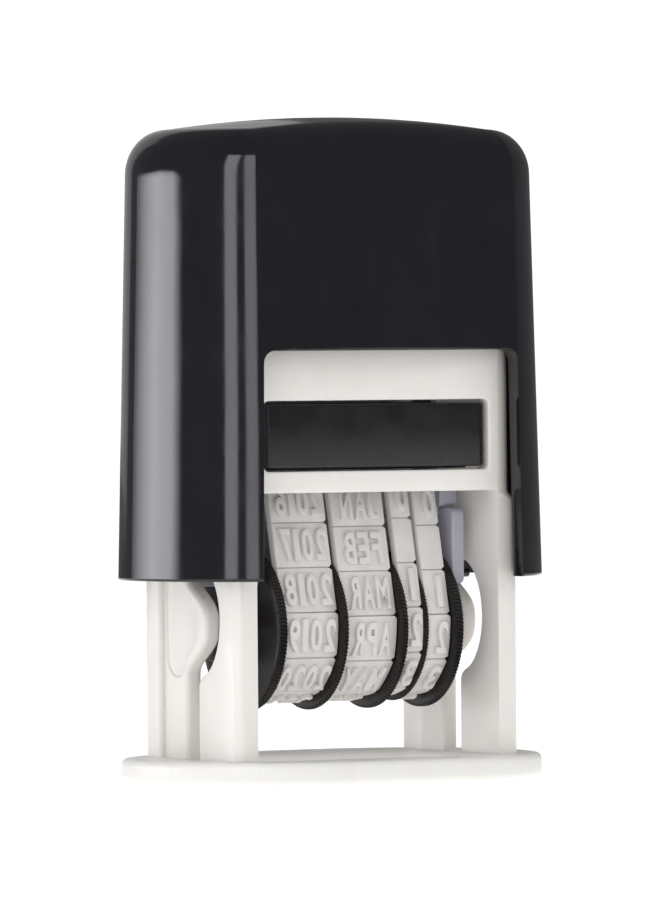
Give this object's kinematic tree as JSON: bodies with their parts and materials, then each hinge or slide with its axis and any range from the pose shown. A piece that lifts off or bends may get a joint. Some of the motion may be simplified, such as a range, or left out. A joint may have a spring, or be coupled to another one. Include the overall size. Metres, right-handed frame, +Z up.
{
  "type": "rotary date stamp",
  "caption": "Self-inking rotary date stamp: domed black cap sliding on a white slotted frame, with a carrier of date bands and thumb wheels that turns over as the cap is pressed.",
  "frame": {"origin": "centre of the foot's underside, on the paper", "axes": "+Z up from the paper, X along the line of print, -Y towards the front with the window and the visible date bands"},
  "size_m": [0.0398, 0.026, 0.0589],
  "materials": {
    "white_plastic": "satin moulded",
    "gloss_black_plastic": "polished",
    "satin_black_plastic": "satin moulded",
    "grey_plastic": "satin moulded",
    "steel": "drawn and bright",
    "pale_rubber": "moulded, clean",
    "inked_felt": "inked felt"
  },
  "bodies": {
    "frame": {"frame": "white_plastic", "base_foot": "white_plastic", "return_spring": "steel"},
    "cap": {"cover_shell": "gloss_black_plastic", "lift_yoke": "steel", "pivot_pin_left": "steel", "pivot_pin_right": "steel"},
    "ink_cartridge": {"ink_tray": "satin_black_plastic", "ink_pad": "inked_felt"},
    "carrier": {"cheek_left": "grey_plastic", "cheek_right": "grey_plastic", "bearing_left": "satin_black_plastic", "bearing_right": "satin_black_plastic", "anvil": "grey_plastic", "wheel_axle": "steel", "spacer_left": "steel", "spacer_right": "steel", "year_band": "pale_rubber", "month_band": "pale_rubber", "tens_band": "pale_rubber", "units_band": "pale_rubber"},
    "year_dial": {"year_wheel": "satin_black_plastic", "year_end_disc": "satin_black_plastic"},
    "month_dial": {"month_wheel": "satin_black_plastic"},
    "tens_dial": {"tens_wheel": "satin_black_plastic"},
    "units_dial": {"units_wheel": "satin_black_plastic"}
  },
  "joints": [
    {"name": "cap_press", "type": "slide", "parent": "frame", "child": "cap", "axis": [0, 0, -1], "range_m": [0, 0.0154], "stiffness_N_per_m": 350, "springref_m": -0.006, "deforming": ["return_spring"]},
    {"name": "carrier_flip", "type": "hinge", "parent": "cap", "child": "carrier", "pos_m": [0, 0, 0.0214], "axis": [-1, 0, 0], "range_deg": [0, 180]},
    {"name": "ink_slide", "type": "slide", "parent": "frame", "child": "ink_cartridge", "axis": [0, 1, 0], "range_m": [-0.0145, 0]},
    {"name": "year_turn", "type": "hinge", "parent": "carrier", "child": "year_dial", "pos_m": [0, 0, 0.01343], "axis": [1, 0, 0], "continuous": true},
    {"name": "month_turn", "type": "hinge", "parent": "carrier", "child": "month_dial", "pos_m": [0, 0, 0.01343], "axis": [1, 0, 0], "continuous": true},
    {"name": "tens_turn", "type": "hinge", "parent": "carrier", "child": "tens_dial", "pos_m": [0, 0, 0.01343], "axis": [1, 0, 0], "continuous": true},
    {"name": "units_turn", "type": "hinge", "parent": "carrier", "child": "units_dial", "pos_m": [0, 0, 0.01343], "axis": [1, 0, 0], "continuous": true}
  ],
  "couplings": [
    {"joint": "carrier_flip", "follows": "cap_press", "rad_per_m": 203.99}
  ]
}
